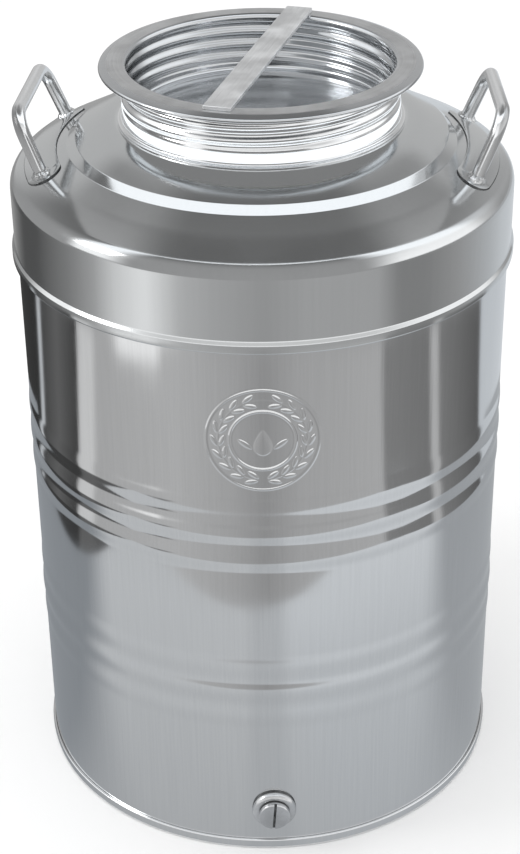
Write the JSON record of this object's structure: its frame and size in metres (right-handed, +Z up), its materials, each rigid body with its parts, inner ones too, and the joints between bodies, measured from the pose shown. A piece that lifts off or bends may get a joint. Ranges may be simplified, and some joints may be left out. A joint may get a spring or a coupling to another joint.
{
  "type": "stainless steel drum",
  "caption": "Polished stainless steel drum with rolled ribs, pressed shoulder, carrying handles, screw lid with a cross bar and a slotted drain plug.",
  "frame": {"origin": "on the drum's axis, in the plane that the drum stands on", "axes": "+Z up along the drum's axis; the drain plug points along -Y, and the handles stand near +X and -X"},
  "size_m": [0.378, 0.3852, 0.591],
  "materials": {
    "polished_sheet": "mirror polished stainless sheet",
    "brushed_sheet": "satin brushed stainless sheet",
    "brushed_bar": "brushed stainless flat bar",
    "polished_rod": "polished stainless rod",
    "machined_steel": "turned stainless bar",
    "gasket_rubber": "smooth food-grade silicone"
  },
  "bodies": {
    "drum": {"barrel_shell": "polished_sheet", "bottom_pan": "polished_sheet", "shoulder_dome": "polished_sheet", "neck_ring": "polished_sheet", "handle_plate_left": "polished_sheet", "handle_plate_right": "polished_sheet", "handle_left": "polished_rod", "handle_right": "polished_rod", "drain_boss": "machined_steel"},
    "gasket": {"lid_gasket": "gasket_rubber"},
    "lid": {"lid_cup": "brushed_sheet", "lid_bar": "brushed_bar"},
    "washer": {"plug_washer": "gasket_rubber"},
    "plug": {"drain_plug": "machined_steel"}
  },
  "joints": [
    {"name": "lid_rise", "type": "slide", "parent": "drum", "child": "gasket", "axis": [0, 0, 1], "range_m": [0, 0.05]},
    {"name": "lid_turn", "type": "hinge", "parent": "gasket", "child": "lid", "pos_m": [0, 0, 0.585], "axis": [0, 0, 1], "range_deg": [0, 1800]},
    {"name": "plug_out", "type": "slide", "parent": "drum", "child": "washer", "axis": [0, -1, 0], "range_m": [0, 0.0127]},
    {"name": "plug_turn", "type": "hinge", "parent": "washer", "child": "plug", "pos_m": [0, -0.19, 0.04], "axis": [0, -1, 0], "range_deg": [0, 2520]}
  ],
  "couplings": [
    {"joint": "lid_rise", "follows": "lid_turn", "m_per_rad": 0.0015915},
    {"joint": "plug_out", "follows": "plug_turn", "m_per_rad": 0.00028871}
  ]
}
